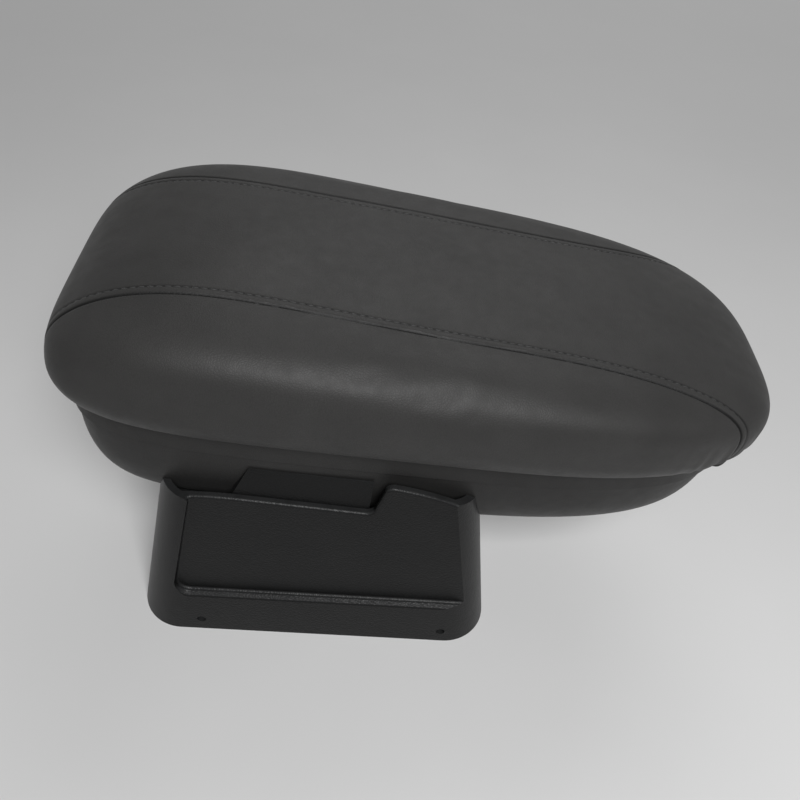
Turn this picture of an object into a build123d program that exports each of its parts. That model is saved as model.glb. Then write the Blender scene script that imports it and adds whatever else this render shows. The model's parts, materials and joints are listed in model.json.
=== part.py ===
"""Car centre armrest: a padded lid on a boat-shaped storage tray, carried by a moulded base.

Frame, in millimetres: +X points to the front of the armrest, +Y to its left, +Z up. The base stands on z = 0.
The arm (lid and tray) is drawn in its own level frame, u forward, v left and w up from the plane of the
lid's hem, and is then pitched nose-down on the base.
"""
import os
from math import atan2, cos, degrees, hypot, pi, radians, sin, tan

from build123d import *

# Arm: place on the base
HEM_HEIGHT = 134.0
ARM_SHIFT = 0.05
PITCH = 5.0

# Padded lid
PAD_REAR = 161.2
PAD_FRONT = 158.7
PAD_HALF_REAR = 79.7
PAD_HALF_FRONT = 73.3
PAD_HEIGHT = 45.9
PAD_TOP_TILT = 2.9
EQUATOR_HEIGHT = 12.0
SHOULDER_HEIGHT = 24.0
HEM_TUCK = 4.0
CROWN_REAR = 83.5
CROWN_FRONT = 90.0
CROWN_SIDE = 70.0
REAR_SQUARENESS = 5.1
NOSE_SQUARENESS = 3.1
CROWN_REAR_SQUARENESS = 4.2
CROWN_NOSE_SQUARENESS = 3.4
SHOULDER_POWER = 3.55
REAR_CURVE_POWER = 2.1
NOSE_CURVE_POWER = 2.75
COVER_THICKNESS = 1.5
FOAM_CLEARANCE = 0.3
HEM_FLANGE = 17.0
SEAM_GAP = 0.3

# Seam of the top panel: half-widths from the rear end to the flare at the nose
SEAM_HALF_REAR = 46.5
SEAM_HALF_WAIST = 43.0
SEAM_HALF_MIDDLE = 44.4
SEAM_HALF_FRONT = 46.4

# Lid board, lining and staples
BOARD_THICKNESS = 6.0
BOARD_CLEARANCE = 0.4
LINING_THICKNESS = 2.0
LINING_MARGIN = 3.5
STAPLE_WIRE = 0.8
STAPLE_CROWN = 10.0
STAPLE_LEG = 5.0
STAPLES_PER_SIDE = 7

# Storage tray
PARTING_GAP = 1.5
TRAY_INSET = 10.6
TRAY_REAR_INSET = 8.4
TRAY_WALL = 2.5
RIM_HEIGHT = 13.0
RIM_PROUD = 1.2
BILGE_DEPTH = 40.5
BILGE_INSET = 23.0
BILGE_REAR_INSET = 14.0
BILGE_REAR_SIDE_INSET = 9.0
MAT_THICKNESS = 2.0
MAT_MARGIN = 3.0

# Moulded base
BASE_REAR = -136.2
BASE_FRONT = 43.6
BASE_HALF_WIDTH = 77.7
BASE_WALL = 3.0
BASE_CORNER = 22.0
REAR_DRAFT = 11.5
FRONT_DRAFT = 9.0
SIDE_DRAFT = 0.5
SKIRT_HEIGHT = 32.0
PANEL_RECESS = 4.2
LEDGE_ROUND = 2.7
LEDGE_HOLLOW = 1.4
RECESS_CORNER = 7.0
MOUTH_TURNS = (22.5, 45.0, 67.5)
REAR_POST = 15.0
DECK_THICKNESS = 3.0
DECK_RECESS = 1.0
CRADLE_CLEARANCE = 0.6
LIP_DEPTH = 36.3
LIP_MIDDLE_DEPTH = 38.4
LIP_REAR_DEPTH = 44.0
LIP_REAR_RUN = 45.0
CHEEK_REAR_DEPTH = 17.0
CHEEK_MIDDLE_DEPTH = 21.6
CHEEK_FRONT_DEPTH = 33.3
CHEEK_START = -13.5
CHEEK_RUN = 53.5
NOTCH_SLANT = 4.0
NOTCH_ROUND = 4.0
LIP_ROUND = 1.3
TAB_DEPTH = 21.5
TAB_REAR = -79.0
TAB_SLANT = 6.0
TAB_FRONT = -19.0
TAB_THICKNESS = 3.2
TAB_LEAN = 3.0
RIB_THICKNESS = 2.5
RIB_DEPTH = 12.0

# Screw holes in the skirt, for the console's sides
SKIRT_HOLE_RADIUS = 2.25
SKIRT_HOLE_SPACING = 122.5
SKIRT_HOLE_HEIGHT = 9.0
SKIRT_HOLE_CENTRE = -41.7

# Tray screws through the floor into bosses under the deck
SCREW_RADIUS = 2.0
SCREW_FIT = 0.05
SCREW_HEAD_RADIUS = 4.0
SCREW_HEAD_HEIGHT = 2.6
SCREW_LENGTH = 18.0
SCREW_SPACING_X = 84.0
SCREW_SPACING_Y = 56.0
WASHER_RADIUS = 5.5
WASHER_THICKNESS = 1.0
BOSS_RADIUS = 5.0

# Lid hinge
HINGE_WIDTH = 54.0
KNUCKLE_RADIUS = 2.5
HINGE_PIN_RADIUS = 1.2
HINGE_FIT = 0.05
LEAF_THICKNESS = 1.0
UPPER_LEAF_REACH = 16.0
LOWER_LEAF_REACH = 12.0
KNUCKLE_GAP = 0.3
SMALL_SCREW_RADIUS = 1.4
SMALL_HEAD_RADIUS = 2.8
SMALL_HEAD_HEIGHT = 1.4
SMALL_SCREW_LENGTH = 6.0

# Magnet catch at the nose
CATCH_WIDTH = 30.0
CATCH_LENGTH = 12.0
CATCH_HEIGHT = 12.0
MAGNET_WIDTH = 14.0
MAGNET_LENGTH = 6.0
MAGNET_HEIGHT = 5.0
STRIKER_THICKNESS = 1.2
CATCH_GAP = 0.4
CATCH_SEAT = 0.3

# Rubber bumpers under the lid
BUMPER_RADIUS = 2.0
BUMPER_HEIGHT = 1.2

# Derived places in the arm's frame
TRAY_REAR = PAD_REAR - TRAY_REAR_INSET
TRAY_FRONT = PAD_FRONT - TRAY_INSET
RIM_TOP = -PARTING_GAP
RIM_BOTTOM = RIM_TOP - RIM_HEIGHT
TRAY_BOTTOM = RIM_BOTTOM - BILGE_DEPTH
TRAY_FLOOR = TRAY_BOTTOM + TRAY_WALL
BOARD_BOTTOM = COVER_THICKNESS
BOARD_TOP = BOARD_BOTTOM + BOARD_THICKNESS
LINING_TOP = -STAPLE_WIRE
LINING_BOTTOM = LINING_TOP - LINING_THICKNESS
LINING_INSET = TRAY_INSET + TRAY_WALL + LINING_MARGIN
FLANGE_INSET = HEM_TUCK + HEM_FLANGE
HINGE_U = -TRAY_REAR - KNUCKLE_RADIUS
HINGE_W = -KNUCKLE_RADIUS
BASE_TOP = HEM_HEIGHT
RING_STATIONS = 32
CROWN_STATIONS = 10
BILGE_ANGLES = (90.0, 75.0, 55.0, 30.0, 0.0)
FAR = 400.0


def on_base(shape):
    """Place a shape drawn in the arm's frame on the base."""
    return Pos(ARM_SHIFT, 0, HEM_HEIGHT) * Rot(0, PITCH, 0) * shape


def to_arm(x, z):
    """Give the arm-frame u and w of a point of the base's middle plane."""
    angle = radians(PITCH)
    dx, dz = x - ARM_SHIFT, z - HEM_HEIGHT
    return dx * cos(angle) - dz * sin(angle), dx * sin(angle) + dz * cos(angle)


def half_width(u):
    """Give the pad's straight-sided half-width at a station, before its ends are rounded."""
    share = (u + PAD_REAR) / (PAD_REAR + PAD_FRONT)
    return PAD_HALF_REAR + (PAD_HALF_FRONT - PAD_HALF_REAR) * share


def plan_ring(w, side=0.0, rear=None, front=None, ease=0.0, tilt=0.0, rear_side=None):
    """Draw one plan outline of the arm at height w, inset from the pad's widest outline.

    The outline is a superellipse with its own squareness at each end; ease from 0 to 1 rounds its corners.
    Where rear_side is given, the inset of the flanks runs from it at the rear to side at the nose.
    """
    rear_reach = PAD_REAR - (side if rear is None else rear)
    front_reach = PAD_FRONT - (side if front is None else front)
    rear_power = REAR_SQUARENESS + (CROWN_REAR_SQUARENESS - REAR_SQUARENESS) * ease
    nose_power = NOSE_SQUARENESS + (CROWN_NOSE_SQUARENESS - NOSE_SQUARENESS) * ease
    points = []
    for station in range(RING_STATIONS):
        angle = 2 * pi * station / RING_STATIONS
        along, across = cos(angle), sin(angle)
        reach, power = (front_reach, nose_power) if along >= 0 else (rear_reach, rear_power)
        u = reach * abs(along) ** (2 / power) * (1 if along >= 0 else -1)
        flank = side
        if rear_side is not None:
            flank = rear_side + (side - rear_side) * (u + PAD_REAR) / (PAD_REAR + PAD_FRONT)
        v = (half_width(u) - flank) * abs(across) ** (2 / power) * (1 if across >= 0 else -1)
        points.append((u, v))
    plane = Plane.XY.offset(w).rotated((0, tilt, 0))
    return plane * make_face(Spline(*points, periodic=True))


def rounding(share, power):
    """Give how far a superellipse of this power has turned in at a share of its height."""
    return 1 - max(0.0, 1 - share ** power) ** (1 / power)


def crown_stations(top):
    """Give side insets and heights evenly spread along the crown, which keeps the loft through them smooth."""
    path = [(0.0, EQUATOR_HEIGHT)]
    steps = 400
    for step in range(steps + 1):
        angle = pi / 2 * step / steps
        rise = sin(angle) ** (2 / SHOULDER_POWER)
        turn = 1 - max(0.0, cos(angle)) ** (2 / SHOULDER_POWER)
        path.append((CROWN_SIDE * turn, SHOULDER_HEIGHT + (top - SHOULDER_HEIGHT) * rise))
    runs = [0.0]
    for start, end in zip(path, path[1:]):
        runs.append(runs[-1] + hypot(end[0] - start[0], end[1] - start[1]))
    stations = []
    for index in range(CROWN_STATIONS + 1):
        goal = runs[-1] * index / CROWN_STATIONS
        nearest = min(range(len(runs)), key=lambda spot: abs(runs[spot] - goal))
        stations.append(path[nearest])
    return stations


def pad_form(inset=0.0, bottom=0.0):
    """Loft the crowned form of the pad, inset all over, from a flat bottom to its crown."""
    top = PAD_HEIGHT - inset
    rings = []
    for share in (0.0, 0.45):
        w = bottom + (EQUATOR_HEIGHT - bottom) * share
        tuck = HEM_TUCK * (1 - w / EQUATOR_HEIGHT) ** 2
        rings.append(plan_ring(w, inset + tuck))
    for turn, w in crown_stations(top):
        share = (w - EQUATOR_HEIGHT) / (top - EQUATOR_HEIGHT)
        rings.append(
            plan_ring(
                w,
                side=inset + turn,
                rear=inset + CROWN_REAR * rounding(share, REAR_CURVE_POWER),
                front=inset + CROWN_FRONT * rounding(share, NOSE_CURVE_POWER),
                ease=share,
                tilt=PAD_TOP_TILT * share,
            )
        )
    return loft(rings)


def level_plate(inset, bottom, top, rear=None, rear_side=None):
    """Make a flat plate of the arm's plan outline between two heights."""
    return extrude(plan_ring(bottom, inset, rear, rear_side=rear_side), top - bottom, dir=(0, 0, 1))


def seam_prism(clearance):
    """Make the upright prism inside the two seams, which cuts the top panel from the side panels."""
    left = [
        (-PAD_REAR - 10, SEAM_HALF_REAR + clearance),
        (-PAD_REAR * 0.62, SEAM_HALF_WAIST + clearance),
        (0, SEAM_HALF_MIDDLE + clearance),
        (PAD_FRONT * 0.5, SEAM_HALF_FRONT + clearance),
        (PAD_FRONT * 0.75, half_width(PAD_FRONT) * 0.757 + clearance),
        (PAD_FRONT * 0.95, half_width(PAD_FRONT) * 1.03 + clearance),
    ]
    right = [(u, -v) for u, v in reversed(left)]
    outline = Curve() + [
        Spline(*left),
        Line(left[-1], (PAD_FRONT + 20, left[-1][1])),
        Line((PAD_FRONT + 20, left[-1][1]), (PAD_FRONT + 20, -left[-1][1])),
        Line((PAD_FRONT + 20, -left[-1][1]), right[0]),
        Spline(*right),
        Line(right[-1], left[0]),
    ]
    return Pos(0, 0, -20) * extrude(make_face(outline), PAD_HEIGHT + 60)


def half_space(side):
    """Give a large block on one side of the arm's middle plane, +1 for left."""
    return Pos(0, side * FAR / 2, 0) * Box(2 * FAR, FAR, 2 * FAR)


def above(w):
    """Give a large block above a height in the arm's frame."""
    return Pos(0, 0, w + FAR / 2) * Box(2 * FAR, 2 * FAR, FAR)


def tray_form(inset=0.0, floor=0.0):
    """Loft the boat-shaped bilge of the tray, from its flat bottom up to the rim's lower edge."""
    rings = []
    depth = BILGE_DEPTH - floor
    for angle in BILGE_ANGLES:
        turn = 1 - cos(radians(angle))
        side = TRAY_INSET + inset + BILGE_INSET * turn
        rear = TRAY_REAR_INSET + inset + BILGE_REAR_INSET * turn
        rear_side = TRAY_INSET + inset + BILGE_REAR_SIDE_INSET * turn
        rings.append(plan_ring(RIM_BOTTOM - depth * sin(radians(angle)), side, rear, rear_side=rear_side))
    return loft(rings)


def edge_stations(inset, count):
    """Give points and headings evenly spread along the straight flanks of an inset outline."""
    stations = []
    reach_rear, reach_front = -PAD_REAR * 0.72, PAD_FRONT * 0.62
    for index in range(count):
        u = reach_rear + (reach_front - reach_rear) * index / (count - 1)
        reach, power = (PAD_FRONT, NOSE_SQUARENESS) if u >= 0 else (PAD_REAR, REAR_SQUARENESS)
        ratio = abs(u) / (reach - inset)
        v = (half_width(u) - inset) * (1 - ratio ** power) ** (1 / power)
        stations.append((u, v))
    return stations


def bar_points(spacing_x, spacing_y, centre_u=0.0):
    """Give the four corners of a screw pattern."""
    return [
        (centre_u + sx * spacing_x / 2, sy * spacing_y / 2)
        for sx in (-1, 1)
        for sy in (-1, 1)
    ]


def cylinder(radius, bottom, top, u=0.0, v=0.0):
    """Make an upright cylinder between two heights."""
    return Pos(u, v, (bottom + top) / 2) * Cylinder(radius, top - bottom)


def tray_screw_points():
    """Give the four places of the tray's floor screws, centred over the base."""
    centre_x = (BASE_REAR + BASE_FRONT) / 2
    centre_u, _ = to_arm(centre_x, HEM_HEIGHT + TRAY_BOTTOM)
    return bar_points(SCREW_SPACING_X, SCREW_SPACING_Y, centre_u)


def staples():
    """Make the wire staples that hold the cover's hem under the lid board."""
    inset = HEM_TUCK + HEM_FLANGE * 0.6
    wires = []
    stations = edge_stations(inset, STAPLES_PER_SIDE)
    for index, (u, v) in enumerate(stations):
        nearby = stations[index + 1] if index + 1 < len(stations) else stations[index - 1]
        turn = degrees(atan2(nearby[1] - v, nearby[0] - u))
        leg = Box(STAPLE_WIRE, STAPLE_WIRE, STAPLE_LEG)
        leg_shift = (STAPLE_CROWN - STAPLE_WIRE) / 2
        legs = [Pos(side * leg_shift, 0, STAPLE_LEG / 2) * leg for side in (-1, 1)]
        wire = Box(STAPLE_CROWN, STAPLE_WIRE, STAPLE_WIRE) + legs
        for side in (-1, 1):
            wires.append(Pos(u, side * v, -STAPLE_WIRE / 2) * Rot(0, 0, side * turn) * wire)
    return wires


def upper_leaf_holes():
    """Give the screw places of the lid hinge's upper leaf."""
    u = HINGE_U + UPPER_LEAF_REACH - SMALL_HEAD_RADIUS - 1
    return [(u, side * HINGE_WIDTH * 0.36) for side in (-1, 0, 1)]


def lower_leaf_holes():
    """Give the v and w screw places of the lid hinge's lower leaf."""
    w = HINGE_W - LOWER_LEAF_REACH + SMALL_HEAD_RADIUS + 0.6
    return [(side * HINGE_WIDTH * 0.36, w) for side in (-1, 0, 1)]


def lining_holes():
    """Give the screw places of the lining panel."""
    return bar_points(PAD_FRONT * 1.1, PAD_HALF_FRONT * 0.9)


def bumper_points():
    """Give the places of the rubber bumpers over the tray's rim."""
    stations = edge_stations(TRAY_INSET - RIM_PROUD + (TRAY_WALL + RIM_PROUD) / 2, 2)
    return [(u, side * v) for u, v in stations for side in (-1, 1)]


def catch_place():
    """Give the u of the magnet catch's centre, against the inside of the tray's nose."""
    half = CATCH_WIDTH / 2
    inner = TRAY_FRONT - TRAY_WALL
    ratio = half / (half_width(inner) - TRAY_INSET - TRAY_WALL)
    nose = inner * (1 - ratio ** NOSE_SQUARENESS) ** (1 / NOSE_SQUARENESS)
    return nose - CATCH_SEAT - CATCH_LENGTH / 2


def small_screw(length=SMALL_SCREW_LENGTH):
    """Make a small pan-head screw, head below the origin plane and shank above it."""
    head = cylinder(SMALL_HEAD_RADIUS, -SMALL_HEAD_HEIGHT, 0)
    head = fillet(head.edges().group_by(Axis.Z)[0], SMALL_HEAD_HEIGHT * 0.5)
    return head + cylinder(SMALL_SCREW_RADIUS, 0, length)


def cover_panels():
    """Make the sewn cover as a top panel and two side panels, parted at the seams."""
    shell = pad_form() - pad_form(COVER_THICKNESS, BOARD_BOTTOM)
    shell -= level_plate(FLANGE_INSET, -1, BOARD_BOTTOM + 1)
    shell -= staples()
    for u, v in upper_leaf_holes():
        shell -= cylinder(SMALL_SCREW_RADIUS + SCREW_FIT, -1, BOARD_BOTTOM + 1, u, v)
    top_panel = shell & seam_prism(-SEAM_GAP / 2)
    sides = shell - seam_prism(SEAM_GAP / 2)
    return top_panel, sides & half_space(1), sides & half_space(-1)


def lid_board():
    """Make the flat board inside the lid, with its screw holes."""
    board = level_plate(HEM_TUCK + COVER_THICKNESS + BOARD_CLEARANCE, BOARD_BOTTOM, BOARD_TOP)
    board -= staples()
    for u, v in upper_leaf_holes() + lining_holes():
        board -= cylinder(SMALL_SCREW_RADIUS + SCREW_FIT, BOARD_BOTTOM - 1, BOARD_TOP + 1, u, v)
    return board


def foam_pad():
    """Make the foam that fills the cover above the board."""
    return pad_form(COVER_THICKNESS + FOAM_CLEARANCE, BOARD_BOTTOM) & above(BOARD_TOP)


def lid_lining():
    """Make the lining panel that closes the lid's underside inside the tray's opening."""
    panel = level_plate(LINING_INSET, LINING_BOTTOM, LINING_TOP)
    panel += level_plate(FLANGE_INSET + 1, LINING_TOP, BOARD_BOTTOM)
    leaf_room = UPPER_LEAF_REACH + 1.5
    panel -= Pos(HINGE_U, 0, 0) * Box(2 * leaf_room, HINGE_WIDTH + 4, 20)
    for u, v in lining_holes():
        panel -= cylinder(SMALL_SCREW_RADIUS + SCREW_FIT, LINING_BOTTOM - 1, BOARD_BOTTOM + 1, u, v)
    return panel


def tray_shell():
    """Make the moulded tray: bilge, proud rim, hinge land and catch seat."""
    rim = level_plate(TRAY_INSET - RIM_PROUD, RIM_BOTTOM, RIM_TOP, TRAY_REAR_INSET - RIM_PROUD)
    rim -= level_plate(TRAY_INSET + TRAY_WALL, RIM_BOTTOM - 1, RIM_TOP + 1, TRAY_REAR_INSET + TRAY_WALL)
    land_depth = RIM_PROUD + TRAY_WALL
    land = Pos(-TRAY_REAR + land_depth / 2, 0, (RIM_TOP + RIM_BOTTOM) / 2)
    land *= Box(land_depth, HINGE_WIDTH + 4, RIM_HEIGHT)
    bilge = tray_form() - tray_form(TRAY_WALL, TRAY_WALL)
    behind_land = Pos(-TRAY_REAR - FAR / 2, 0, (RIM_TOP + RIM_BOTTOM) / 2)
    behind_land *= Box(FAR, HINGE_WIDTH + 4, RIM_HEIGHT + 2)
    tray = rim + bilge - behind_land + land
    for u, v in tray_screw_points():
        tray -= cylinder(SCREW_RADIUS + SCREW_FIT, TRAY_BOTTOM - 1, TRAY_FLOOR + 1, u, v)
    for v, w in lower_leaf_holes():
        hole = Rot(0, 90, 0) * Cylinder(SMALL_SCREW_RADIUS + SCREW_FIT, 4 * land_depth)
        tray -= Pos(-TRAY_REAR, v, w) * hole
    return tray


def tray_mat():
    """Make the loose rubber mat on the tray's floor, with holes round the screw heads."""
    inset = TRAY_INSET + TRAY_WALL + BILGE_INSET + MAT_MARGIN
    rear = TRAY_REAR_INSET + TRAY_WALL + BILGE_REAR_INSET + MAT_MARGIN
    rear_side = TRAY_INSET + TRAY_WALL + BILGE_REAR_SIDE_INSET + MAT_MARGIN
    mat = level_plate(inset, TRAY_FLOOR, TRAY_FLOOR + MAT_THICKNESS, rear, rear_side)
    for u, v in tray_screw_points():
        mat -= cylinder(WASHER_RADIUS + 1, TRAY_FLOOR - 1, TRAY_FLOOR + MAT_THICKNESS + 1, u, v)
    return mat


def tray_washers():
    """Make the washers under the tray's floor screws."""
    hole = Cylinder(SCREW_RADIUS + SCREW_FIT, 3 * WASHER_THICKNESS)
    washer = Cylinder(WASHER_RADIUS, WASHER_THICKNESS) - hole
    return [Pos(u, v, TRAY_FLOOR + WASHER_THICKNESS / 2) * washer for u, v in tray_screw_points()]


def tray_screws():
    """Make the pan-head screws that hold the tray to the base's deck."""
    seat = TRAY_FLOOR + WASHER_THICKNESS
    head = cylinder(SCREW_HEAD_RADIUS, 0, SCREW_HEAD_HEIGHT)
    head = fillet(head.edges().group_by(Axis.Z)[-1], SCREW_HEAD_HEIGHT * 0.5)
    screw = head + cylinder(SCREW_RADIUS, -SCREW_LENGTH, 0)
    return [Pos(u, v, seat) * screw for u, v in tray_screw_points()]


def knuckle(start, end):
    """Make one hinge knuckle along v."""
    bore = Cylinder(HINGE_PIN_RADIUS + HINGE_FIT, 2 * (end - start))
    tube = Cylinder(KNUCKLE_RADIUS, end - start) - bore
    return Pos(HINGE_U, (start + end) / 2, HINGE_W) * Rot(90, 0, 0) * tube


def hinge_splits():
    """Give the half-lengths of the hinge's middle knuckle and of its whole barrel."""
    return HINGE_WIDTH / 6, HINGE_WIDTH / 2


def hinge_upper_leaf():
    """Make the lid's hinge leaf: a flat plate under the board with the middle knuckle."""
    middle, whole = hinge_splits()
    plate_front = HINGE_U + UPPER_LEAF_REACH
    notch_front = HINGE_U + KNUCKLE_RADIUS + KNUCKLE_GAP
    plate = Pos((notch_front + plate_front) / 2, 0, -LEAF_THICKNESS / 2)
    plate *= Box(plate_front - notch_front, 2 * whole, LEAF_THICKNESS)
    tongue = Pos((HINGE_U + plate_front) / 2, 0, -LEAF_THICKNESS / 2)
    tongue *= Box(UPPER_LEAF_REACH, 2 * (middle - KNUCKLE_GAP), LEAF_THICKNESS)
    bore = Pos(HINGE_U, 0, HINGE_W) * Rot(90, 0, 0) * Cylinder(HINGE_PIN_RADIUS + HINGE_FIT, 2 * whole)
    leaf = plate + tongue - bore + knuckle(-middle + KNUCKLE_GAP, middle - KNUCKLE_GAP)
    for u, v in upper_leaf_holes():
        leaf -= cylinder(SMALL_SCREW_RADIUS + SCREW_FIT, -5, 5, u, v)
    return leaf


def hinge_lower_leaf():
    """Make the tray's hinge leaf: an upright plate on the hinge land with the two outer knuckles."""
    middle, whole = hinge_splits()
    plate_bottom = HINGE_W - LOWER_LEAF_REACH
    notch_top = HINGE_W - KNUCKLE_RADIUS - KNUCKLE_GAP
    plate_u = -TRAY_REAR - LEAF_THICKNESS / 2
    plate = Pos(plate_u, 0, (plate_bottom + notch_top) / 2)
    plate *= Box(LEAF_THICKNESS, 2 * whole, notch_top - plate_bottom)
    leaf = plate
    for side in (-1, 1):
        tongue = Pos(plate_u, side * (middle + whole) / 2, (plate_bottom + HINGE_W) / 2)
        leaf += tongue * Box(LEAF_THICKNESS, whole - middle, HINGE_W - plate_bottom)
    bore = Pos(HINGE_U, 0, HINGE_W) * Rot(90, 0, 0) * Cylinder(HINGE_PIN_RADIUS + HINGE_FIT, 2 * whole)
    leaf = leaf - bore + knuckle(-whole, -middle) + knuckle(middle, whole)
    for v, w in lower_leaf_holes():
        leaf -= Pos(plate_u, v, w) * Rot(0, 90, 0) * Cylinder(SMALL_SCREW_RADIUS + SCREW_FIT, 10)
    return leaf


def hinge_pin():
    """Make the hinge pin with its peened heads."""
    _, whole = hinge_splits()
    head_length = 1.0
    pin = Cylinder(HINGE_PIN_RADIUS, 2 * whole)
    for side in (-1, 1):
        pin += Pos(0, 0, side * (whole + head_length / 2)) * Cylinder(KNUCKLE_RADIUS * 0.8, head_length)
    return Pos(HINGE_U, 0, HINGE_W) * Rot(90, 0, 0) * pin


def hinge_upper_screws():
    """Make the screws of the upper leaf, driven up into the board."""
    return [Pos(u, v, -LEAF_THICKNESS) * small_screw() for u, v in upper_leaf_holes()]


def hinge_lower_screws():
    """Make the screws of the lower leaf, driven forward into the hinge land."""
    seat = -TRAY_REAR - LEAF_THICKNESS
    length = LEAF_THICKNESS + TRAY_WALL + RIM_PROUD
    return [Pos(seat, v, w) * Rot(0, 90, 0) * small_screw(length) for v, w in lower_leaf_holes()]


def lining_screws():
    """Make the screws of the lining panel, driven up into the board."""
    length = BOARD_TOP - LINING_BOTTOM - 1
    return [Pos(u, v, LINING_BOTTOM) * small_screw(length) for u, v in lining_holes()]


def catch_top():
    """Give the height of the magnet's upper face, just under the striker."""
    return LINING_BOTTOM - STRIKER_THICKNESS - CATCH_GAP


def catch_housing():
    """Make the catch's housing, with a pocket for the magnet and a seat against the tray's nose."""
    u, top = catch_place(), catch_top()
    block = Pos(u, 0, top - CATCH_HEIGHT / 2) * Box(CATCH_LENGTH, CATCH_WIDTH, CATCH_HEIGHT)
    block = fillet(block.edges().filter_by(Axis.X), 2)
    pocket = Pos(u, 0, top - MAGNET_HEIGHT / 2 + 0.5) * Box(MAGNET_LENGTH, MAGNET_WIDTH, MAGNET_HEIGHT + 1)
    return block - pocket


def catch_magnet():
    """Make the magnet in its pocket."""
    magnet = Box(MAGNET_LENGTH - 0.2, MAGNET_WIDTH - 0.2, MAGNET_HEIGHT)
    return Pos(catch_place(), 0, catch_top() - MAGNET_HEIGHT / 2) * magnet


def striker_plate():
    """Make the steel plate on the lining that the magnet holds."""
    plate = Box(CATCH_LENGTH, CATCH_WIDTH, STRIKER_THICKNESS)
    plate = fillet(plate.edges().filter_by(Axis.Z), 2)
    return Pos(catch_place(), 0, LINING_BOTTOM - STRIKER_THICKNESS / 2) * plate


def lid_bumpers():
    """Make the rubber buttons under the hem that land on the tray's rim."""
    return [cylinder(BUMPER_RADIUS, -BUMPER_HEIGHT, 0, u, v) for u, v in bumper_points()]


def base_rectangle(z, inset):
    """Draw the base's rounded plan rectangle at a height, inset by a wall."""
    rear = BASE_REAR + z * tan(radians(REAR_DRAFT)) + inset
    front = BASE_FRONT - z * tan(radians(FRONT_DRAFT)) - inset
    half = BASE_HALF_WIDTH - z * tan(radians(SIDE_DRAFT)) - inset
    outline = RectangleRounded(front - rear, 2 * half, BASE_CORNER - inset)
    return Pos((rear + front) / 2, 0, z) * outline


def base_form(inset=0.0):
    """Make the drafted body of the base with the recessed panels of its sides."""
    bottom = -inset * 2
    body = loft([base_rectangle(bottom, inset), base_rectangle(BASE_TOP, inset)])
    ledge = SKIRT_HEIGHT - inset
    lean = tan(radians(REAR_DRAFT))
    rear_foot = BASE_REAR + REAR_POST + ledge * lean - inset
    rear_head = BASE_REAR + REAR_POST + BASE_TOP * lean - inset
    panel = make_face(
        Polyline((rear_foot, ledge), (FAR, ledge), (FAR, BASE_TOP + 1), (rear_head, BASE_TOP + 1), close=True)
    )
    corner = panel.vertices().sort_by_distance((rear_foot, ledge, 0))[0]
    panel = Plane.XZ * fillet(corner, RECESS_CORNER + inset)
    panel_y = BASE_HALF_WIDTH - PANEL_RECESS - inset
    cutter = extrude(panel, FAR, dir=(0, 1, 0))
    if inset:
        cutters = [Pos(0, panel_y, 0) * cutter]
    else:
        cutters = [Pos(0, panel_y, 0) * fillet(cutter.edges().group_by(Axis.Y)[0], LEDGE_HOLLOW)]
        mouth_y = BASE_HALF_WIDTH - ledge * tan(radians(SIDE_DRAFT))
        for turn in MOUTH_TURNS:
            start = LEDGE_ROUND * (1 - sin(radians(turn)) + (1 - cos(radians(turn))) / tan(radians(turn)))
            flare = extrude(panel, start + 1, dir=(0, 1, 0), taper=-turn)
            cutters.append(Pos(0, mouth_y - start, 0) * flare)
    for cutter in cutters:
        body -= [cutter, mirror(cutter, Plane.XZ)]
    return body


def top_trim():
    """Make the block above the base's top edge: a low lip behind, and cheeks that curve down in front."""
    lip_end = (TAB_REAR - LIP_REAR_RUN, -LIP_REAR_DEPTH)
    lip_middle = (TAB_REAR - LIP_REAR_RUN / 2, -LIP_MIDDLE_DEPTH)
    lip_start = (TAB_REAR, -LIP_DEPTH)
    riser_foot = (CHEEK_START - NOTCH_SLANT, -LIP_DEPTH)
    riser_head = (CHEEK_START, -CHEEK_REAR_DEPTH)
    cheek_middle = (CHEEK_START + CHEEK_RUN / 2, -CHEEK_MIDDLE_DEPTH)
    cheek_front = (CHEEK_START + CHEEK_RUN, -CHEEK_FRONT_DEPTH)
    outline = make_face(
        Curve()
        + [
            Line((-FAR, -LIP_REAR_DEPTH), lip_end),
            ThreePointArc(lip_end, lip_middle, lip_start),
            Line(lip_start, riser_foot),
            Line(riser_foot, riser_head),
            ThreePointArc(riser_head, cheek_middle, cheek_front),
            Polyline(cheek_front, (FAR, -CHEEK_FRONT_DEPTH), (FAR, FAR), (-FAR, FAR), (-FAR, -LIP_REAR_DEPTH)),
        ]
    )
    corners = [
        vertex
        for vertex in outline.vertices()
        if min(hypot(vertex.X - u, vertex.Y - w) for u, w in (riser_foot, riser_head)) < 0.01
    ]
    return extrude(Plane.XZ * fillet(corners, NOTCH_ROUND), FAR, both=True)


def rounded_lip(shell):
    """Round the outer edge of the lip, the notch's riser and the cheek on both sides of the trimmed base."""
    panel_y = BASE_HALF_WIDTH - PANEL_RECESS
    edges = []
    for edge in shell.edges():
        centre, size = edge.center(), edge.bounding_box().size
        _, w = to_arm(centre.X, centre.Z)
        on_panel = abs(abs(centre.Y) - panel_y) < 0.01 and size.Y < 0.01
        if on_panel and size.X > 0.5 and w > -LIP_REAR_DEPTH - 1:
            edges.append(edge)
    return fillet(edges, LIP_ROUND)


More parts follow.
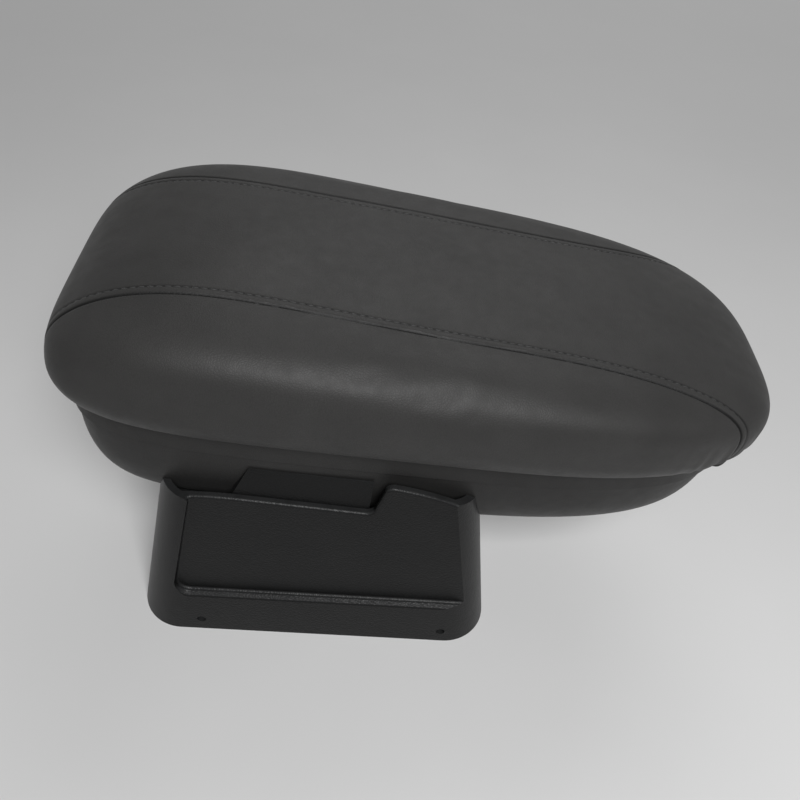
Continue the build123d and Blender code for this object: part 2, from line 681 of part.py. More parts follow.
def saddle_tab(side):
    """Make one tab of the base, leaning in over the lip, that locates the tray's flank."""
    outline = make_face(
        Polyline(
            (TAB_REAR, TRAY_BOTTOM - DECK_THICKNESS),
            (TAB_FRONT, TRAY_BOTTOM - DECK_THICKNESS),
            (TAB_FRONT, -TAB_DEPTH),
            (TAB_REAR + TAB_SLANT, -TAB_DEPTH),
            (TAB_REAR, -LIP_DEPTH),
            close=True,
        )
    )
    outer = BASE_HALF_WIDTH - PANEL_RECESS - BASE_WALL
    inner = outer - TAB_THICKNESS - TAB_LEAN
    profile = make_face(
        Polyline(
            (inner, TRAY_BOTTOM - DECK_THICKNESS),
            (outer, TRAY_BOTTOM - DECK_THICKNESS),
            (outer, -LIP_DEPTH),
            (outer - TAB_LEAN, -TAB_DEPTH),
            (inner, -TAB_DEPTH),
            close=True,
        )
    )
    block = extrude(Plane.YZ * profile, FAR, both=True) & extrude(Plane.XZ * outline, FAR, both=True)
    return block if side > 0 else mirror(block, Plane.XZ)


def base_shell():
    """Make the moulded base: skirt, recessed panels, deck, cradle, saddle tabs, ribs and bosses."""
    outer = base_form()
    core = base_form(BASE_WALL)
    deck_bottom = TRAY_BOTTOM - DECK_THICKNESS
    boss_bottom = deck_bottom - SCREW_LENGTH
    deck = Pos(0, 0, (deck_bottom + TRAY_BOTTOM + DECK_RECESS) / 2)
    deck *= Box(2 * FAR, 2 * FAR, DECK_THICKNESS + DECK_RECESS)
    rib_room = Pos(0, 0, deck_bottom - RIB_DEPTH / 2)
    inside = deck
    for u, v in tray_screw_points():
        inside += cylinder(BOSS_RADIUS, boss_bottom, TRAY_BOTTOM - 1, u, v)
    for v in (-SCREW_SPACING_Y / 2, SCREW_SPACING_Y / 2):
        inside += rib_room * Pos(0, v, 0) * Box(2 * FAR, RIB_THICKNESS, RIB_DEPTH)
    for u in sorted({u for u, _ in tray_screw_points()}):
        inside += rib_room * Pos(u, 0, 0) * Box(RIB_THICKNESS, 2 * FAR, RIB_DEPTH)
    shell = outer - (core - on_base(inside))
    shell = rounded_lip(shell - on_base(top_trim()))
    for side in (-1, 1):
        shell += on_base(saddle_tab(side))
    shell -= on_base(tray_form(-CRADLE_CLEARANCE))
    rim_room = TRAY_REAR_INSET - CRADLE_CLEARANCE
    shell -= on_base(level_plate(TRAY_INSET - CRADLE_CLEARANCE, RIM_BOTTOM - 2, PAD_HEIGHT, rim_room))
    for u, v in tray_screw_points():
        shell -= on_base(cylinder(SCREW_RADIUS + SCREW_FIT, boss_bottom - 1, TRAY_BOTTOM + 1, u, v))
    for end in (-1, 1):
        hole = Rot(90, 0, 0) * Cylinder(SKIRT_HOLE_RADIUS, FAR)
        shell -= Pos(SKIRT_HOLE_CENTRE + end * SKIRT_HOLE_SPACING / 2, 0, SKIRT_HOLE_HEIGHT) * hole
    return shell


def write(node, shape):
    """Export one node, which may be a group of like solids."""
    solids = shape if isinstance(shape, list) else [shape]
    found = [solid for item in solids for solid in item.solids()]
    export_step(found[0] if len(found) == 1 else Compound(children=found), f"parts/{node}.step")


def main():
    """Build every node and write it."""
    os.makedirs("parts", exist_ok=True)
    top_panel, left_panel, right_panel = cover_panels()
    arm_nodes = {
        "tray_shell": tray_shell(),
        "tray_mat": tray_mat(),
        "tray_washers": tray_washers(),
        "tray_screws": tray_screws(),
        "hinge_lower_leaf": hinge_lower_leaf(),
        "hinge_lower_screws": hinge_lower_screws(),
        "hinge_pin": hinge_pin(),
        "catch_housing": catch_housing(),
        "catch_magnet": catch_magnet(),
        "lid_board": lid_board(),
        "foam_pad": foam_pad(),
        "cover_top_panel": top_panel,
        "cover_left_panel": left_panel,
        "cover_right_panel": right_panel,
        "cover_staples": staples(),
        "lid_lining": lid_lining(),
        "lining_screws": lining_screws(),
        "hinge_upper_leaf": hinge_upper_leaf(),
        "hinge_upper_screws": hinge_upper_screws(),
        "striker_plate": striker_plate(),
        "lid_bumpers": lid_bumpers(),
    }
    write("base_shell", base_shell())
    for node, shape in arm_nodes.items():
        placed = [on_base(item) for item in shape] if isinstance(shape, list) else on_base(shape)
        write(node, placed)


main()
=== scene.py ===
"""Looks of a car centre armrest: a sewn, padded lid on a storage tray that a moulded base carries.

Frame, in metres: +X points to the front of the armrest, +Y to its left and +Z up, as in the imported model.
The lid is drawn in the arm's own level frame, u forward, v left and w up from the plane of its hem, and
is then pitched nose-down onto the base.
"""
import json
import logging
import math
from dataclasses import dataclass, field
from enum import Enum
from typing import Any, Iterable, Protocol, Sequence

import bmesh
import bpy
import numpy as np
from mathutils import Matrix, Vector

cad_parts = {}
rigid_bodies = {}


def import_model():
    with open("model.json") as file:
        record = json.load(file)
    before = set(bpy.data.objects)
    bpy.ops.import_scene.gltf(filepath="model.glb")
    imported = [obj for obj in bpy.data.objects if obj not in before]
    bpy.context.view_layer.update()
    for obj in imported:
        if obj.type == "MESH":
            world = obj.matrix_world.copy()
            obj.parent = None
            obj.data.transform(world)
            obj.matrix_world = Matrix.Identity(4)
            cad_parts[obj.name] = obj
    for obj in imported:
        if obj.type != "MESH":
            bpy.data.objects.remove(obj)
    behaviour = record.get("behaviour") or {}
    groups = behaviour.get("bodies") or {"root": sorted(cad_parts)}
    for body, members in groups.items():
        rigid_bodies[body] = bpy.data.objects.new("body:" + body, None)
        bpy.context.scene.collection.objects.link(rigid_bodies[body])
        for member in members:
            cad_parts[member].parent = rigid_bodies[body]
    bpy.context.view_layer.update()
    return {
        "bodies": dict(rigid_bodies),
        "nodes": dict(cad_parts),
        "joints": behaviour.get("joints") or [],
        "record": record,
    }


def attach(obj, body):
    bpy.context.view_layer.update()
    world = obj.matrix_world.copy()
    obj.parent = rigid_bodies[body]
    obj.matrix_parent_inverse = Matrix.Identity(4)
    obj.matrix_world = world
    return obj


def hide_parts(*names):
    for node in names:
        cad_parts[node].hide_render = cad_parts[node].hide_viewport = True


Socket = bpy.types.NodeSocket
Colour = tuple[float, float, float, float]
Place = tuple[float, float, float]

IMAGE_PIXELS = 800
TINY_LENGTH = 1e-12
TINY_SQUARE = 1e-18
LOG = logging.getLogger("armrest")


class Body(Enum):
    """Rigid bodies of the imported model."""

    BASE = "base"
    LID = "lid"


class Side(Enum):
    """Sides of the arm's middle plane."""

    LEFT = 1
    RIGHT = -1


class ShaderGraph:
    """A material under construction, with short calls to add and join its nodes."""

    def __init__(self, name: str) -> None:
        """Start a material that holds one Principled shader.

        Args:
            name: The material's name.
        """
        self.material = bpy.data.materials.new(name)
        self.material.use_nodes = True
        self.tree = self.material.node_tree
        self.tree.nodes.clear()
        self.output = self.tree.nodes.new("ShaderNodeOutputMaterial")
        self.shader = self.tree.nodes.new("ShaderNodeBsdfPrincipled")
        self.tree.links.new(self.shader.outputs["BSDF"], self.output.inputs["Surface"])

    def add(self, kind: str, settings: dict[str, Any] | None = None, **values: Any) -> bpy.types.Node:
        """Add a node.

        Args:
            kind: The node's type without its ShaderNode prefix.
            settings: Properties of the node itself.
            **values: Input values or sockets to join, by the input's name with _ for a space.

        Returns:
            The new node.
        """
        node = self.tree.nodes.new("ShaderNode" + kind)
        for key, value in (settings or {}).items():
            setattr(node, key, value)
        for key, value in values.items():
            self.put(node.inputs[key.replace("_", " ")], value)
        return node

    def put(self, socket: Socket, value: Any) -> None:
        """Set an input to a value, or join an output to it.

        Args:
            socket: The input.
            value: The value to set, or the output to join.
        """
        if isinstance(value, Socket):
            self.tree.links.new(value, socket)
        else:
            socket.default_value = value

    def surface(self, **values: Any) -> None:
        """Set or join inputs of the Principled shader.

        Args:
            **values: Input values or sockets, by the input's name with _ for a space.
        """
        for key, value in values.items():
            self.put(self.shader.inputs[key.replace("_", " ")], value)

    def coordinates(self) -> Socket:
        """Give the piece's own coordinates, in metres."""
        return self.add("TexCoord").outputs["Object"]

    def noise(self, vector: Socket, size: float, detail: float = 2.0) -> Socket:
        """Give a noise whose patches are about one size.

        Args:
            vector: The coordinates to read.
            size: The width of a patch in metres.
            detail: How many finer layers it has.

        Returns:
            The noise's value, from 0 to 1.
        """
        node = self.add("TexNoise", Vector=vector, Scale=1.0 / size, Detail=detail, Roughness=0.55)
        return node.outputs["Fac"]

    def ramp(self, factor: Socket, low: float, high: float, start: float, end: float) -> Socket:
        """Map a factor between two limits to a range of values.

        Args:
            factor: The value to map.
            low: The factor that gives the start.
            high: The factor that gives the end.
            start: The first value.
            end: The last value.

        Returns:
            The mapped and clamped value.
        """
        node = self.add("MapRange", Value=factor, From_Min=low, From_Max=high, To_Min=start, To_Max=end)
        return node.outputs["Result"]

    def blend(self, factor: Socket, one: Any, two: Any) -> Socket:
        """Mix two colours.

        Args:
            factor: 0 gives the first colour and 1 the second.
            one: The first colour or socket.
            two: The second colour or socket.

        Returns:
            The mixed colour.
        """
        node = self.add("Mix", {"data_type": "RGBA"})
        self.put(node.inputs["Factor"], factor)
        self.put(node.inputs[6], one)
        self.put(node.inputs[7], two)
        return node.outputs[2]

    def math(self, operation: str, one: Any, two: Any = 0.0) -> Socket:
        """Join two numbers by an operation.

        Args:
            operation: The Math node's operation.
            one: The first number or socket.
            two: The second number or socket.

        Returns:
            The result.
        """
        node = self.add("Math", {"operation": operation})
        self.put(node.inputs[0], one)
        self.put(node.inputs[1], two)
        return node.outputs["Value"]

    def bump(self, height: Socket, depth: float, strength: float, under: Socket | None = None) -> Socket:
        """Raise the surface by a height.

        Args:
            height: The height, from 0 to 1.
            depth: The rise of a height of 1, in metres.
            strength: How much of it shows, from 0 to 1.
            under: The normal of a coarser bump below it, if there is one.

        Returns:
            The bent normal.
        """
        node = self.add("Bump", Height=height, Strength=strength, Distance=depth)
        if under is not None:
            self.put(node.inputs["Normal"], under)
        return node.outputs["Normal"]


def grey(value: float, warmth: float = 0.0) -> Colour:
    """Give a linear grey, a little warm or cool.

    Args:
        value: Its lightness.
        warmth: The share by which red rises and blue falls.

    Returns:
        The colour with full alpha.
    """
    return (value * (1 + warmth), value, value * (1 - warmth), 1.0)


def shade(colour: Colour, share: float) -> Colour:
    """Darken a colour to a share of itself."""
    return tuple(part * share for part in colour[:3]) + (1.0,)


class Finish(Protocol):
    """A finish of one of the armrest's materials."""

    def material(self) -> bpy.types.Material:
        """Build the material."""


@dataclass
class SeamProfile:
    """Cross-section of a topstitched seam, by the distance from its join."""

    groove_depth: float = 0.0010
    fold_rise: float = 0.00014
    stitch_offset: float = 0.0038
    stitch_dip: float = 0.0003
    top_edge: float = -0.0080
    side_edge: float = 0.0060
    levels: tuple[float, ...] = (
        -0.0062, -0.0050, -0.0038, -0.0029, -0.0019, -0.0011, -0.0005, 0.0, 0.0005, 0.0011, 0.0019, 0.0032,
    )

    def height(self, offset: np.ndarray) -> np.ndarray:
        """Give the surface's rise at signed distances from the join.

        Args:
            offset: Distances, below zero on the top panel, where the folded allowance lies.

        Returns:
            Heights along the surface's normal.
        """
        rise, dip, depth = self.fold_rise, self.stitch_dip, self.groove_depth
        top_panel = (0.0, 0.05 * rise, 0.2 * rise, -dip, 0.75 * rise, rise, 0.8 * rise)
        join = (-0.35 * depth, -depth, -0.35 * depth)
        side_panel = (0.35 * rise, 0.45 * rise, 0.2 * rise, 0.0)
        stations = (self.top_edge, *self.levels, self.side_edge)
        return np.interp(offset, stations, top_panel + join + side_panel)


@dataclass(frozen=True)
class Leatherette:
    """Embossed leatherette: fine pebbles with painted shade in their valleys, soft sheen and faint blotches,
    and painted shade along its seams where it has them.
    """

    name: str
    tone: float
    warmth: float = 0.02
    roughness: float = 0.5
    pebble: float = 0.0011
    stray: float = 0.0009
    stray_scale: float = 420.0
    relief: float = 0.00022
    gloss: float = 0.2
    # seams turns on painted shade along the seams' joins and stitch lines.
    seams: bool = False

    def material(self) -> bpy.types.Material:
        """Build the material.

        Returns:
            The new material.
        """
        graph = ShaderGraph(self.name)
        place = graph.coordinates()
        wander = graph.add("TexNoise", Vector=place, Scale=self.stray_scale, Detail=1.0)
        strayed = graph.add("VectorMath", {"operation": "MULTIPLY_ADD"})
        graph.put(strayed.inputs[0], wander.outputs["Color"])
        graph.put(strayed.inputs[1], (self.stray,) * 3)
        graph.put(strayed.inputs[2], place)
        cells = graph.add("TexVoronoi", {"feature": "DISTANCE_TO_EDGE"}, Vector=strayed.outputs[0])
        graph.put(cells.inputs["Scale"], 1.0 / self.pebble)
        pebbles = graph.ramp(cells.outputs["Distance"], 0.0, 0.22, 0.0, 1.0)
        pores = graph.noise(place, self.pebble * 0.35, 1.0)
        blotch = graph.noise(place, 0.035, 3.0)
        streak = graph.noise(place, 0.006, 2.0)
        dark, light = grey(self.tone * 0.86, self.warmth), grey(self.tone * 1.12, self.warmth)
        colour = graph.blend(graph.ramp(blotch, 0.3, 0.7, 0.0, 1.0), dark, light)
        # Painted shade: the valleys between the pebbles are darker.
        painted_valley_shade = graph.ramp(pebbles, 0.0, 0.5, 0.35, 0.0)
        colour = graph.blend(painted_valley_shade, colour, grey(self.tone * 0.6, self.warmth))
        if self.seams:
            # Painted shade: the join and the stitch line of each seam are darkened almost to black, standing
            # in for the shade in their grooves.
            offset = graph.add("Attribute", {"attribute_name": "seam_offset"}).outputs["Fac"]
            crease = graph.math("ABSOLUTE", offset)
            needle_line = graph.math("ABSOLUTE", graph.math("ADD", offset, SeamProfile.stitch_offset))
            join_shade = graph.ramp(crease, 0.0005, 0.0011, 0.95, 0.0)
            line_shade = graph.ramp(needle_line, 0.0003, 0.0009, 0.75, 0.0)
            painted_seam_shade = graph.math("MAXIMUM", join_shade, line_shade)
            colour = graph.blend(painted_seam_shade, colour, grey(self.tone * 0.05))
        rough = graph.ramp(streak, 0.25, 0.75, self.roughness - 0.04, self.roughness + 0.06)
        coarse = graph.bump(pebbles, self.relief, 0.14)
        fine = graph.bump(pores, self.relief * 0.35, 0.14, coarse)
        graph.surface(Base_Color=colour, Roughness=rough, Normal=fine)
        graph.surface(Specular_IOR_Level=self.gloss, Sheen_Weight=0.02, Sheen_Roughness=0.4)
        return graph.material


@dataclass(frozen=True)
class MouldedPlastic:
    """Moulded plastic with an etched, leather-like speckle, a painted highlight on the tops of its grains,
    and a patchy painted highlight that makes its upward faces paler.
    """

    name: str
    tone: float
    roughness: float = 0.5
    speckle: float = 0.0008
    relief: float = 0.00022
    gloss: float = 0.17
    # Tone of the painted highlight on upward faces, or None for none.
    top_highlight_tone: float | None = None

    def material(self) -> bpy.types.Material:
        """Build the material.

        Returns:
            The new material.
        """
        graph = ShaderGraph(self.name)
        place = graph.coordinates()
        cells = graph.add("TexVoronoi", {"feature": "SMOOTH_F1"}, Vector=place, Scale=1.0 / self.speckle)
        graph.put(cells.inputs["Smoothness"], 0.6)
        grains = graph.ramp(cells.outputs["Distance"], 0.1, 0.75, 1.0, 0.0)
        fine = graph.noise(place, self.speckle * 0.4, 2.0)
        cloud = graph.noise(place, 0.03, 3.0)
        dark, light = grey(self.tone * 0.8, -0.03), grey(self.tone * 1.2, -0.02)
        colour = graph.blend(graph.ramp(cloud, 0.3, 0.7, 0.0, 1.0), dark, light)
        # Painted highlight: the tops of the raised grains are made lighter, as glints.
        colour = graph.blend(graph.ramp(grains, 0.55, 1.0, 0.0, 0.3), colour, grey(self.tone * 1.7))
        # Painted highlight: faces that point up are made paler in patches, standing in for the light that
        # falls on them.
        if self.top_highlight_tone is not None:
            facing = graph.add("TexCoord").outputs["Normal"]
            upward = graph.add("SeparateXYZ", Vector=facing).outputs["Z"]
            patchy = graph.ramp(graph.noise(place, 0.012, 3.0), 0.3, 0.6, 0.6, 1.0)
            painted_top_highlight = graph.math("MULTIPLY", graph.ramp(upward, 0.3, 0.7, 0.0, 1.0), patchy)
            colour = graph.blend(painted_top_highlight, colour, grey(self.top_highlight_tone, -0.02))
        rough = graph.ramp(fine, 0.3, 0.7, self.roughness - 0.06, self.roughness + 0.08)
        coarse = graph.bump(grains, self.relief, 0.38)
        normal = graph.bump(fine, self.relief * 0.4, 0.2, coarse)
        graph.surface(Base_Color=colour, Roughness=rough, Normal=normal, Specular_IOR_Level=self.gloss)
        return graph.material


@dataclass(frozen=True)
class PlatedSteel:
    """Plated or coated steel, faintly brushed."""

    name: str
    colour: Colour
    roughness: float = 0.32
    metallic: float = 1.0

    def material(self) -> bpy.types.Material:
        """Build the material.

        Returns:
            The new material.
        """
        graph = ShaderGraph(self.name)
        place = graph.coordinates()
        drawn = graph.add("Mapping", Vector=place, Scale=(1.0, 0.06, 1.0))
        lines = graph.noise(drawn.outputs["Vector"], 0.0006, 3.0)
        patches = graph.noise(place, 0.006, 2.0)
        dull = graph.ramp(patches, 0.35, 0.7, 0.0, 1.0)
        colour = graph.blend(dull, self.colour, shade(self.colour, 0.78))
        rough = graph.ramp(lines, 0.2, 0.8, self.roughness - 0.06, self.roughness + 0.12)
        graph.surface(Base_Color=colour, Roughness=rough, Normal=graph.bump(lines, 0.00006, 0.3))
        graph.surface(Metallic=self.metallic)
        return graph.material


@dataclass(frozen=True)
class Felt:
    """Needle felt or foam: a matt, fuzzy surface of short fibres."""

    name: str
    colour: Colour
    fibre: float = 0.0007

    def material(self) -> bpy.types.Material:
        """Build the material.

        Returns:
            The new material.
        """
        graph = ShaderGraph(self.name)
        place = graph.coordinates()
        fuzz = graph.noise(place, self.fibre, 4.0)
        clumps = graph.noise(place, self.fibre * 9, 2.0)
        lit = graph.ramp(fuzz, 0.35, 0.65, 0.0, 1.0)
        colour = graph.blend(lit, shade(self.colour, 0.6), self.colour)
        under = graph.bump(clumps, 0.0004, 0.4)
        graph.surface(Base_Color=colour, Normal=graph.bump(fuzz, 0.0003, 0.6, under))
        graph.surface(Roughness=0.95, Sheen_Weight=0.25, Specular_IOR_Level=0.2)
        return graph.material


@dataclass(frozen=True)
class FibreBoard:
    """Pressed wood-fibre board."""

    name: str
    colour: Colour

    def material(self) -> bpy.types.Material:
        """Build the material.

        Returns:
            The new material.
        """
        graph = ShaderGraph(self.name)
        place = graph.coordinates()
        drawn = graph.add("Mapping", Vector=place, Scale=(0.25, 1.0, 1.0))
        flakes = graph.noise(drawn.outputs["Vector"], 0.002, 5.0)
        lit = graph.ramp(flakes, 0.35, 0.65, 0.0, 1.0)
        colour = graph.blend(lit, shade(self.colour, 0.62), self.colour)
        graph.surface(Base_Color=colour, Normal=graph.bump(flakes, 0.0002, 0.4), Roughness=0.8)
        return graph.material


@dataclass(frozen=True)
class MouldedRubber:
    """Matt rubber, ribbed where it is a mat."""

    name: str
    tone: float
    rib_pitch: float = 0.0

    def material(self) -> bpy.types.Material:
        """Build the material.

        Returns:
            The new material.
        """
        graph = ShaderGraph(self.name)
        place = graph.coordinates()
        dust = graph.noise(place, 0.012, 4.0)
        skin = graph.noise(place, 0.0005, 2.0)
        colour = graph.blend(graph.ramp(dust, 0.35, 0.75, 0.0, 1.0), grey(self.tone), grey(self.tone * 1.5))
        normal = graph.bump(skin, 0.0001, 0.4)
        if self.rib_pitch:
            ribs = graph.add("TexWave", {"bands_direction": "Y", "wave_profile": "SIN"}, Vector=place)
            graph.put(ribs.inputs["Scale"], 0.314 / self.rib_pitch)
            normal = graph.bump(ribs.outputs["Fac"], 0.0005, 0.7, normal)
        graph.surface(Base_Color=colour, Normal=normal, Roughness=0.72, Specular_IOR_Level=0.35)
        return graph.material


@dataclass(frozen=True)
class SewingThread:
    """Twisted polyester thread."""

    name: str
    tone: float

    def material(self) -> bpy.types.Material:
        """Build the material.

        Returns:
            The new material.
        """
        graph = ShaderGraph(self.name)
        twist = graph.noise(graph.coordinates(), 0.0004, 1.0)
        lit = graph.ramp(twist, 0.3, 0.7, 0.0, 1.0)
        colour = graph.blend(lit, grey(self.tone * 0.7), grey(self.tone * 1.3))
        graph.surface(Base_Color=colour, Normal=graph.bump(twist, 0.0001, 0.5))
        graph.surface(Roughness=0.6, Sheen_Weight=0.2)
        return graph.material


def background_rays(tree: bpy.types.NodeTree) -> Socket:
    """Add nodes that tell rays which show the background from rays that only light the object.

    Args:
        tree: The node tree of a material or a world.

    Returns:
        1 for camera, glossy and transmission rays, and 0 for the rest.
    """
    path = tree.nodes.new("ShaderNodeLightPath")
    shown = path.outputs["Is Camera Ray"]
    for kind in ("Is Glossy Ray", "Is Transmission Ray"):
        either = tree.nodes.new("ShaderNodeMath")
        either.operation = "MAXIMUM"
        tree.links.new(shown, either.inputs[0])
        tree.links.new(path.outputs[kind], either.inputs[1])
        shown = either.outputs["Value"]
    return shown


@dataclass(frozen=True)
class StudioPaper:
    """Pale paper under the object, which fades into the backdrop far from it."""

    name: str
    tone: float
    backdrop: float
    fade_start: float = 0.45
    fade_end: float = 1.7

    def material(self) -> bpy.types.Material:
        """Build the material.

        Returns:
            The new material.
        """
        graph = ShaderGraph(self.name)
        place = graph.coordinates()
        mottle = graph.noise(place, 0.15, 3.0)
        share = graph.ramp(mottle, 0.2, 0.8, 0.0, 1.0)
        colour = graph.blend(share, grey(self.tone * 0.98), grey(self.tone * 1.02))
        graph.surface(Base_Color=colour, Roughness=0.9, Specular_IOR_Level=0.2)
        distance = graph.add("VectorMath", {"operation": "LENGTH"}, Vector=place).outputs["Value"]
        fade = graph.ramp(distance, self.fade_start, self.fade_end, 0.0, 1.0)
        glow = graph.add("Emission", Color=grey(1.0), Strength=self.backdrop)
        mixed = graph.add("MixShader", Fac=graph.math("MULTIPLY", fade, background_rays(graph.tree)))
        graph.put(mixed.inputs[1], graph.shader.outputs["BSDF"])
        graph.put(mixed.inputs[2], glow.outputs["Emission"])
        graph.put(graph.output.inputs["Surface"], mixed.outputs["Shader"])
        return graph.material


@dataclass(frozen=True)
class ArmFrame:
    """Place of the arm's own frame on the base."""

    shift: float = 0.00005
    hem_height: float = 0.134
    pitch: float = math.radians(5.0)

    def to_row(self, points: np.ndarray) -> np.ndarray:
        """Turn points of the arm's frame into the row frame.

        Args:
            points: Rows of u, v and w.

        Returns:
            Rows of x, y and z.
        """
        u, v, w = points.T
        x = self.shift + u * math.cos(self.pitch) + w * math.sin(self.pitch)
        z = self.hem_height - u * math.sin(self.pitch) + w * math.cos(self.pitch)
        return np.stack([x, v, z], axis=1)

    def to_arm(self, points: np.ndarray) -> np.ndarray:
        """Turn points of the row frame into the arm's frame.

        Args:
            points: Rows of x, y and z.

        Returns:
            Rows of u, v and w.
        """
        x, y, z = points.T
        x, z = x - self.shift, z - self.hem_height
        u = x * math.cos(self.pitch) - z * math.sin(self.pitch)
        w = x * math.sin(self.pitch) + z * math.cos(self.pitch)
        return np.stack([u, y, w], axis=1)


def vertices_of(mesh: bpy.types.Mesh) -> np.ndarray:
    """Read a mesh's vertices.

    Args:
        mesh: The mesh to read.

    Returns:
        Rows of three numbers.
    """
    flat = np.empty(len(mesh.vertices) * 3, np.float32)
    mesh.vertices.foreach_get("co", flat)
    return flat.reshape(-1, 3).astype(float)


def normals_of(mesh: bpy.types.Mesh) -> np.ndarray:
    """Read a mesh's vertex normals.

    Args:
        mesh: The mesh to read.

    Returns:
        Rows of three numbers.
    """
    flat = np.empty(len(mesh.vertices) * 3, np.float32)
    mesh.vertex_normals.foreach_get("vector", flat)
    return flat.reshape(-1, 3).astype(float)


def move_vertices(mesh: bpy.types.Mesh, points: np.ndarray) -> None:
    """Set a mesh's vertices."""
    mesh.vertices.foreach_set("co", points.astype(np.float32).ravel())
    mesh.update()


def new_object(name: str, data: bpy.types.ID) -> bpy.types.Object:
    """Put a mesh, a lamp or a camera in the scene as an object at the origin.

    Args:
        name: The object's name.
        data: What it holds.

    Returns:
        The new object.
    """
    made = bpy.data.objects.new(name, data)
    bpy.context.scene.collection.objects.link(made)
    return made


def bake_modifiers(piece: bpy.types.Object) -> None:
    """Turn a piece's evaluated shape into its own plain mesh.

    Args:
        piece: The object, whose modifiers are then gone.
    """
    graph = bpy.context.evaluated_depsgraph_get()
    mesh = bpy.data.meshes.new_from_object(piece.evaluated_get(graph))
    mesh.name = piece.name
    piece.modifiers.clear()
    piece.data = mesh


def even_points(path: np.ndarray, count: int) -> np.ndarray:
    """Spread points evenly along a path.

    Args:
        path: Points along the path.
        count: How many points to give, both ends included.

    Returns:
        The evenly spread points.
    """
    steps = np.linalg.norm(np.diff(path, axis=0), axis=1)
    run = np.concatenate([[0.0], np.cumsum(steps)])
    goals = np.linspace(0.0, run[-1], count)
    return np.stack([np.interp(goals, run, path[:, axis]) for axis in range(path.shape[1])], axis=1)


def stepped_points(path: np.ndarray, step: float) -> np.ndarray:
    """Spread points along a path, about one step apart."""
    length = np.linalg.norm(np.diff(path, axis=0), axis=1).sum()
    return even_points(path, int(length / step))


def smooth_path(path: np.ndarray, reach: int) -> np.ndarray:
    """Average a path over its neighbours, with its ends kept.

    Args:
        path: Points along the path.
        reach: How many neighbours on each side count.

    Returns:
        The smoothed path.
    """
    padded = np.concatenate([np.repeat(path[:1], reach, 0), path, np.repeat(path[-1:], reach, 0)])
    window = np.ones(2 * reach + 1) / (2 * reach + 1)
    columns = [np.convolve(padded[:, axis], window, "valid") for axis in range(path.shape[1])]
    return np.stack(columns, axis=1)


def distance_to_path(points: np.ndarray, path: np.ndarray) -> np.ndarray:
    """Measure how far points are from a path of straight pieces.

    Args:
        points: Rows of points.
        path: Points along the path.

    Returns:
        Each point's distance.
    """
    nearest = np.full(len(points), np.inf)
    for start, end in zip(path[:-1], path[1:]):
        run = end - start
        share = np.clip((points - start) @ run / max(run @ run, TINY_SQUARE), 0.0, 1.0)
        gap = np.linalg.norm(points - start - share[:, None] * run, axis=1)
        nearest = np.minimum(nearest, gap)
    return nearest


@dataclass(frozen=True)
class CoverCloth:
    """How the cover stretches, and where it is held, while the foam swells it."""

    quality: int = 6
    mass: float = 0.02
    stretch_stiffness: float = 12.0
    shear_stiffness: float = 6.0
    bending_stiffness: float = 0.4
    pressure: float = 4.0
    frames: int = 20
    swell_limit: float = 0.0035
    seam_reach: float = 0.007
    seam_hold: float = 0.35
    hem_height: float = 0.004
    hem_fade: float = 0.006

    def hold(self, seam_gap: np.ndarray, height: np.ndarray) -> np.ndarray:
        """Give how firmly places on the cover are held.

        Args:
            seam_gap: Their distances from the nearest seam, below zero on the top panel.
            height: Their heights above the plane of the hem.

        Returns:
            Weights from 0 to 1, full along the seams and the hem.
        """
        near_seam = np.clip(1.0 - np.abs(seam_gap) / self.seam_reach, 0.0, 1.0)
        low = np.clip(1.0 - (height - self.hem_height) / self.hem_fade, 0.0, 1.0)
        return np.maximum(np.where(near_seam > self.seam_hold, 1.0, near_seam), low)

    def swell(self, piece: bpy.types.Object, hold: np.ndarray) -> None:
        """Swell a closed cover by pressure from inside, with a cloth simulation.

        Args:
            piece: The cover's start form, which takes the swollen shape.
            hold: How firmly each vertex is held, from 0 to 1.
        """
        rest = vertices_of(piece.data)
        pins = piece.vertex_groups.new(name="held")
        for index, weight in enumerate(hold):
            pins.add([index], float(weight), "REPLACE")
        cloth = piece.modifiers.new("cover", "CLOTH")
        settings = cloth.settings
        settings.quality = self.quality
        settings.mass = self.mass
        settings.tension_stiffness = settings.compression_stiffness = self.stretch_stiffness
        settings.shear_stiffness = self.shear_stiffness
        settings.bending_stiffness = self.bending_stiffness
        settings.vertex_group_mass = pins.name
        settings.use_pressure = True
        settings.uniform_pressure_force = self.pressure
        settings.effector_weights.gravity = 0.0
        cloth.collision_settings.use_collision = False
        scene = bpy.context.scene
        scene.frame_start, scene.frame_end = 1, self.frames
        cloth.point_cache.frame_start, cloth.point_cache.frame_end = 1, self.frames
        for step in range(1, self.frames + 1):
            scene.frame_set(step)
        bake_modifiers(piece)
        scene.frame_set(1)
        piece.vertex_groups.clear()
        shift = vertices_of(piece.data) - rest
        length = np.linalg.norm(shift, axis=1)
        capped = np.minimum(length, self.swell_limit)
        LOG.info("cover swelled by %.2f mm, capped at %.2f mm", 1e3 * length.max(), 1e3 * self.swell_limit)
        move_vertices(piece.data, rest + shift * (capped / np.maximum(length, TINY_LENGTH))[:, None])


